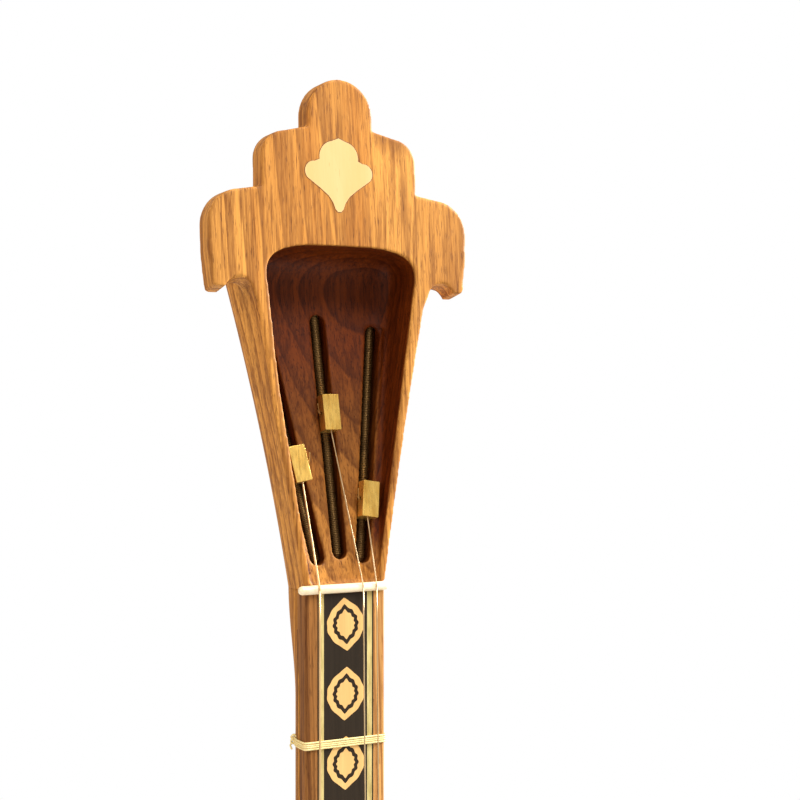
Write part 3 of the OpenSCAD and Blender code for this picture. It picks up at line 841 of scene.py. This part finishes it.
def build_string_knot(i):
    """The string's end comes out of the carrier's side hole in a small knot and a short tail."""
    steps = [(0.2, 0, 0), (0.9, -0.5, 0.3), (1.0, 0.3, 0.9), (0.5, 0.5, 0.2), (0.6, -0.3, -0.4)]
    steps += [(1.0, -0.6, 0.8), (1.3, -0.9, 2.4)]
    side = KNOT_SIDE[i]
    knot = [(side * CARRIER_W / 2 + side * x, y - STRING_UP, z + CARRIER_T[i]) for x, y, z in steps]
    wire = tube("string_knot_%s_wire" % SIDES[i], smooth_path(knot), STRING_R[i] * 0.8, M["wire"], 8)
    place(wire, lambda p: tuner_point(i, p))
    ready(wire, "carrier_" + SIDES[i], "brass", "string_knot_" + SIDES[i])


# ---------- nut, neck and fingerboard ----------
def build_nut():
    """A round rod with worn ends."""
    y = NUT_R - NUT_TOP
    n = 32
    left, right = NUT_ENDS
    ends = [(left, 0.35), (left + 0.12, 0.75), (left + 0.45, 1.05), (left + 1, NUT_R)]
    ends += [(right - 1, NUT_R), (right - 0.45, 1.05), (right - 0.12, 0.8), (right, 0.5)]
    turns = [TAU * j / n for j in range(n - 1, -1, -1)]
    rings = [[(x, y + r * math.cos(a), r * math.sin(a)) for a in turns] for x, r in ends]
    nut = loft("nut_rod", rings, M["bone"])
    ready(nut, "body", "bone", "nut")


def build_neck():
    zs = [BODY_Z, SWELL_Z] + [SWELL_Z + 1.5 * k for k in range(1, 20)] + [-0.3]
    neck = loft("neck_shaft", [section(z, front=BOARD_T + 0.04) for z in zs], M["head"])
    cut(neck, [place(box("above", (-30, -10, 0), (30, 40, 60)), in_head)])
    ready(neck, "body", "walnut", "neck")
    side = NECK_R + 0.03
    low, high = (-side, BOARD_T - 0.04, BODY_Z + 1), (side, BOARD_T + 0.16, -11)
    glue = box("fingerboard_glue_line", low, high, M["glue"])
    ready(glue, "body", "walnut")
    outline = [(NECK_R, BOARD_T), (NECK_R, 0.6), (NECK_R - 0.17, 0.2), (NECK_R - 0.6, 0.0)]
    outline += flipped(outline)
    zs = np.linspace(BODY_Z, -NUT_R - 0.05, 40)
    board = loft("fingerboard_plate", [[(x, y, z) for x, y in outline] for z in zs], M["board"], smooth=False)
    ready(board, "body", "walnut", "fingerboard")


def strip(name, x0, x1, y_top, material, body_slot, *replaced):
    """A strip let into the whole length of the fingerboard."""
    zs = np.linspace(BODY_Z, -NUT_R - 0.1, 60)
    rings = [[(x0, y_top, z), (x1, y_top, z), (x1, INLAY_D, z), (x0, INLAY_D, z)] for z in zs]
    obj = loft(name, rings, material, smooth=False)
    return ready(obj, "body", body_slot, *replaced)


def build_band():
    """The dark band with a pale line and a thin dark edge at each side."""
    strip("fingerboard_dark_band", -BAND_W, BAND_W, -0.012, M["dark"], "dark_wood", "fingerboard_band")
    pale, edge = BAND_W + LINE_W, BAND_W + LINE_W + EDGE_LINE_W
    for sign, side in ((-1, "left"), (1, "right")):
        x0, x1 = sorted((sign * BAND_W, sign * pale))
        strip("fingerboard_pale_line_" + side, x0, x1, -0.02, M["line"], "boxwood", "fingerboard_lines")
        x0, x1 = sorted((sign * pale, sign * edge))
        strip("fingerboard_thin_line_" + side, x0, x1, -0.012, M["dark"], "dark_wood", "fingerboard_band")


def almond(half, wave, waves, n=96):
    """Pointed oval with a ripple of so many waves along its edge."""
    a, b = half
    right = []
    for k in range(n):
        share = 1 - 2 * k / n
        right.append((a * (1 - abs(share) ** 2.15), b * share))
    pts = right + [(-x, -z) for x, z in right]
    out = []
    for k, (x, z) in enumerate(pts):
        angle = math.atan2(z, x)
        grow = wave * math.cos(waves * TAU * k / len(pts))
        out.append((x + grow * math.cos(angle), z + grow * math.sin(angle)))
    return out


def build_medallions():
    rng = np.random.default_rng(3)
    tilts = [4, -3, -1] + list(rng.uniform(-3, 3, MEDALLION_COUNT - 3))
    pieces = []
    for m, tilt in enumerate(tilts):
        cz = MEDALLION_FIRST - m * MEDALLION_PITCH
        c, s = math.cos(math.radians(tilt)), math.sin(math.radians(tilt))

        def laid(half, y, wave, waves):
            return [(x * c - z * s, y, cz + x * s + z * c) for x, z in almond(half, wave, waves)]

        edges = ((RING_OUT, 0.08, 10), (RING_IN, 0.17, 12), (CENTRE_OUT, 0.17, 12))
        outer, inner, centre = [laid(half, -0.035, wave, waves) for half, wave, waves in edges]
        outer_low, inner_low, centre_low = [laid(half, 0.5, wave, waves) for half, wave, waves in edges]
        n = len(outer)
        faces = []
        for j in range(n):
            k = (j + 1) % n
            faces.append((j, k, n + k, n + j))
            faces.append((2 * n + j, 2 * n + k, k, j))
            faces.append((n + j, n + k, 3 * n + k, 3 * n + j))
            faces.append((3 * n + j, 3 * n + k, 2 * n + k, 2 * n + j))
        pieces.append(make("ring", outer + inner + outer_low + inner_low, faces, M["medal"], smooth=False))
        faces = [tuple(range(n)), tuple(range(2 * n - 1, n - 1, -1))]
        faces += [(n + j, n + (j + 1) % n, (j + 1) % n, j) for j in range(n)]
        pieces.append(make("eye", centre + centre_low, faces, M["medal"], smooth=False))
    obj = join("fingerboard_medallion_inlays", pieces)
    ready(obj, "body", "boxwood", "fingerboard_medallions")


def fret_z(i):
    """Place of fret i on a string tuned in equal semitones."""
    return -SCALE_LENGTH * (1 - 2 ** (-i / 12))


def u_path(grow, z):
    """Closed path round the neck at a small distance, with rounded front corners."""
    r = NECK_R + grow
    corner = 0.8
    path = arc(0, NECK_SIDE, r, 0, 180, 28)
    path += [(-r, y) for y in (2.2, 1.0)] + arc(-r + corner, corner - grow, corner, 180, 270, 5)
    path += [(x, -grow) for x in np.linspace(-r + corner + 1, r - corner - 1, 12)]
    path += arc(r - corner, corner - grow, corner, 270, 360, 5) + [(r, y) for y in (1.0, 2.2)]
    return [(x, y, z) for x, y in path]


def build_fret(i):
    name = "fret_%02d" % i
    z0 = fret_z(i)
    r = GUT_D / 2
    strands = []
    rng = np.random.default_rng(i)
    for t in range(GUT_TURNS):
        z = z0 + (t - (GUT_TURNS - 1) / 2) * GUT_D
        wobble = rng.uniform(-0.03, 0.03)
        path = u_path(0.03 + r, z + wobble)
        strands.append(tube("strand", path, r * 0.98, M["gut"], 10, closed=True))
    # the knot lies on the bass side of the back, and its tail ends curl
    a = math.radians(155)
    kx, ky = (NECK_R + 0.75) * math.cos(a), NECK_SIDE + (NECK_R + 0.75) * math.sin(a)
    knot = []
    for k in range(40):
        u = TAU * k / 39 * 1.5
        step = (0.42 * math.cos(2 * u), 0.42 * math.sin(2 * u), 0.85 * math.sin(u * 1.33))
        knot.append(add((kx, ky, z0), step))
    strands.append(tube("knot", knot, r * 0.95, M["gut"], 8))
    tails = [
        [(0, 0, 0.6), (-0.5, -0.6, 1.3), (-0.4, -1.9, 1.9), (0.1, -2.6, 1.2)],
        [(0, 0, -0.6), (-0.6, 0.2, -1.4), (-0.7, -0.9, -2.2)],
    ]
    for tail in tails:
        path = smooth_path([add((kx, ky, z0), p) for p in tail])
        strands.append(tube("tail", path, r * 0.9, M["gut"], 8))
    obj = join(name + "_strands", strands)
    ready(obj, name, "gut", name)


# ---------- strings ----------
def string_parts(i):
    """Where string i runs, from its tail pin to inside its carrier."""
    r = STRING_R[i]
    drop = CAP_Z - CAP_T - r - 0.9
    x_pin = TAIL_X[i] + TAIL_PIN_R + r + BEAD + 0.03
    tail = (TAIL_X[i], -SADDLE_TOP - r - 0.02, CAP_Z + 0.2)
    bridge = (BRIDGE_X[i], -BRIDGE_TOP - r - 0.02, -SCALE_LENGTH)
    nut = (NUT_X[i], -NUT_TOP + 0.12 - r, 0)
    out = tuner_point(i, (0, -STRING_UP, CARRIER_T[i] - CARRIER_L / 2 - 0.4))
    inside = tuner_point(i, (0, -STRING_UP, CARRIER_T[i] - 0.5))
    return drop, x_pin, tail, bridge, nut, out, inside


def between(a, b, n):
    return [tuple(a[k] + (b[k] - a[k]) * t / n for k in range(3)) for t in range(n + 1)]


def stretched(name, i, path):
    """A run of string i between two places, each of them on its own body."""
    obj = tube(name, path, STRING_R[i], M[STRING_LOOK[i]], 10)
    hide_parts("string_" + SIDES[i])
    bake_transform(obj)


def build_string(i):
    name = "string_" + SIDES[i]
    r = STRING_R[i]
    drop, x_pin, tail, bridge, nut, out, inside = string_parts(i)
    over = (nut[0], nut[1] + 0.02, nut[2] + 0.5)
    head = between(nut, over, 2)[:-1] + between(over, out, 40) + between(out, inside, 3)[1:]
    stretched(name + "_head", i, head)
    stretched(name + "_speaking", i, between(nut, bridge, 80))
    stretched(name + "_afterlength", i, between(bridge, tail, 20))
    # behind the saddle the string bends down over the edge and goes once round its pin
    x, y = TAIL_X[i], -SADDLE_TOP
    over_edge = [tail, (x + 0.2, y - r, CAP_Z - 1.6), (x + 0.8, y + 0.2, drop + 0.2)]
    over_edge += [(x_pin - 0.3, y + 1.6, drop), (x_pin, TAIL_PIN_Y - 3, drop)]
    loop_r, points = x_pin - x, 24
    loop = []
    for k in range(points):
        a = TAU * k / points
        loop.append((x + loop_r * math.cos(a), TAIL_PIN_Y + loop_r * math.sin(a), drop - 0.004 * k))
    end = tube(name + "_tail_loop", smooth_path(over_edge) + loop, r, M[STRING_LOOK[i]], 8)
    ready(end, "body", STRING_SLOT[i], name)


# ---------- bowl ----------
def swell(s, most, least, p, q):
    """A size of the bowl at s from its tail: an ellipse up to S_MID, then a slow draw-in to the neck."""
    if s < S_MID:
        return most * math.sqrt(max(1 - (1 - s / S_MID) ** 2, 0))
    return least + (most - least) * max(math.cos(math.pi / 2 * ((s - S_MID) / (BOWL_L - S_MID)) ** p), 0) ** q


def bowl_half(s):
    return swell(s, BOWL_W, NECK_R + 1.2, 1.05, 1.35)


def bowl_back(s):
    return swell(s, BOWL_D, NECK_D + 1.2 - TOP_T, 1.0, 1.15)


def bowl_point(s, a, inset):
    return ((bowl_half(s) - inset) * math.cos(a), TOP_T + (bowl_back(s) - inset) * math.sin(a), TAIL_Z + s)


def build_ribs():
    n, across = 80, 14
    s0 = 3
    us = [(k / n) ** 1.25 for k in range(n + 1)]
    for rib in range(1, RIB_COUNT + 1):
        a0, a1 = math.pi * (rib - 1) / RIB_COUNT, math.pi * rib / RIB_COUNT
        rings = []
        for u in us:
            s = s0 + (BOWL_L - s0 - 0.1) * u
            outer, inner = [], []
            for j in range(across + 1):
                t = j / across
                a = a0 + (a1 - a0) * t
                # each stave is rounded a little at its two glued edges
                ease = 0.35 * max(1 - min(t, 1 - t) * across / 1.2, 0)
                outer.append(bowl_point(s, a, ease))
                inner.append(bowl_point(s, a, RIB_T))
            rings.append(outer + inner[::-1])
        name = "bowl_rib_%d" % rib
        obj = loft(name + "_stave", rings, M["stave_a"] if rib % 2 == 1 else M["stave_b"])
        ready(obj, "body", "walnut" if rib % 2 == 1 else "light_walnut", name)


def build_bridge():
    """A blank with sloping ends, an arch under its middle and a top that slopes to the tail."""
    outline = [(-34, -0.02), (-34, -3), (-20, -10.5), (20, -10.5), (34, -3), (34, -0.02)]
    z0 = -SCALE_LENGTH - 4
    ends = [[(x, y, z) for x, y in outline] for z in (z0, z0 + 5)]
    obj = loft("bridge_blank", ends, M["bridge"], smooth=False)
    arch = rod("arch", 31.5, z0 - 1, z0 + 6, centre=(0, 27), n=128)
    cut(obj, [arch])
    slope = box("slope", (-35, -4, -8), (35, 0, 0))
    a = math.radians(55)
    place(slope, lambda p: add(turn_x(p, a), (0, -BRIDGE_TOP - 0.1, -SCALE_LENGTH - 0.6)))
    cut(obj, [slope])
    bevel(obj, 0.35, 3, 40)
    obj.name = "bridge_carved"
    ready(obj, "bridge", "light_walnut", "bridge")


def dress(node, material):
    """Gives a node that keeps the CAD's own mesh its material."""
    data = NODES[node].data
    data.materials.clear()
    data.materials.append(material)


CARRIED_OVER = {
    "top": ["soundboard", "soundboard_brace", "neck_block", "tail_block"],
    "wing": ["soundboard_wings"],
    "dark": ["heel_collar", "soundboard_binding", "tail_cap"],
    "bone": ["tail_saddle"],
    "brass": ["tail_pins", "strap_button", "tuner_bushings"],
}


# ---------- stage ----------
CAMERA_TURN = math.radians(27.3)
CAMERA_FAR = 417.3
CAMERA_UP = 52.8
LENS = 69.7
SENSOR = 36
LENS_SHIFT = (0.068, -0.010)
LIGHT_TARGET = (0, 0, 0.05)
WARM_WORLD = (1.0, 0.93, 0.84, 1)
FLOOR_HALF = 1900


def build_camera():
    data = bpy.data.cameras.new("camera")
    data.lens = LENS
    data.sensor_width = SENSOR
    data.shift_x, data.shift_y = LENS_SHIFT
    data.clip_start = 0.01
    cam = bpy.data.objects.new("camera", data)
    bpy.context.scene.collection.objects.link(cam)
    a = CAMERA_TURN
    cam.location = Vector((-CAMERA_FAR * math.sin(a), -CAMERA_FAR * math.cos(a), CAMERA_UP)) * MM
    cam.rotation_euler = (math.pi / 2, 0, -a)
    bpy.context.scene.camera = cam


def area_light(name, location, size, power, colour):
    data = bpy.data.lights.new(name, "AREA")
    data.shape = "DISK"
    data.size = size
    data.energy = power
    data.color = colour
    obj = bpy.data.objects.new(name, data)
    bpy.context.scene.collection.objects.link(obj)
    obj.location = location
    way = Vector(LIGHT_TARGET) - Vector(location)
    obj.rotation_euler = way.to_track_quat("-Z", "Y").to_euler()


def build_floor():
    low = min(CAD_BOX[0][2], CAD_BOX[1][2]) / MM - 2
    h = FLOOR_HALF
    paper = plain("floor_paper", (0.86, 0.86, 0.86, 1), (0.90, 0.90, 0.90, 1), (0.8, 0.95), 3)
    floor = make("floor", [(-h, -h, low), (h, -h, low), (h, h, low), (-h, h, low)], [(0, 1, 2, 3)], paper)


def build_world():
    """Warm soft light from all round, behind a background that the camera sees as white."""
    world = bpy.data.worlds.new("world")
    bpy.context.scene.world = world
    world.use_nodes = True
    tree = world.node_tree
    light = tree.nodes["Background"]
    light.inputs["Color"].default_value = WARM_WORLD
    light.inputs["Strength"].default_value = 0.56
    paper = tree.nodes.new("ShaderNodeBackground")
    paper.inputs["Color"].default_value = (1, 1, 1, 1)
    seen = tree.nodes.new("ShaderNodeLightPath")
    both = tree.nodes.new("ShaderNodeMixShader")
    tree.links.new(seen.outputs["Is Camera Ray"], both.inputs[0])
    tree.links.new(light.outputs[0], both.inputs[1])
    tree.links.new(paper.outputs[0], both.inputs[2])
    tree.links.new(both.outputs[0], tree.nodes["World Output"].inputs["Surface"])


def build_lights():
    area_light("key_right", (1.0, -0.13, 0.45), 0.35, 42, (1, 0.97, 0.92))
    area_light("front_fill", (0.22, -0.70, 1.05), 0.6, 15, (1, 0.97, 0.93))
    area_light("left_fill", (-1.0, -0.10, 0.30), 0.8, 5.5, (1, 0.82, 0.66))


# ---------- everything ----------
bpy.context.scene.view_settings.view_transform = "Standard"
bpy.context.scene.view_settings.look = "None"
build_camera()
build_floor()
build_world()
build_lights()
build_headstock()
build_crown_inlay()
for tuner in range(3):
    build_screw(tuner)
    build_knob(tuner)
    build_carrier(tuner)
    build_string_knot(tuner)
    build_string(tuner)
build_nut()
build_neck()
build_band()
build_medallions()
for number in range(1, FRET_COUNT + 1):
    build_fret(number)
build_ribs()
build_bridge()
for look, nodes in CARRIED_OVER.items():
    for node in nodes:
        dress(node, M[look])
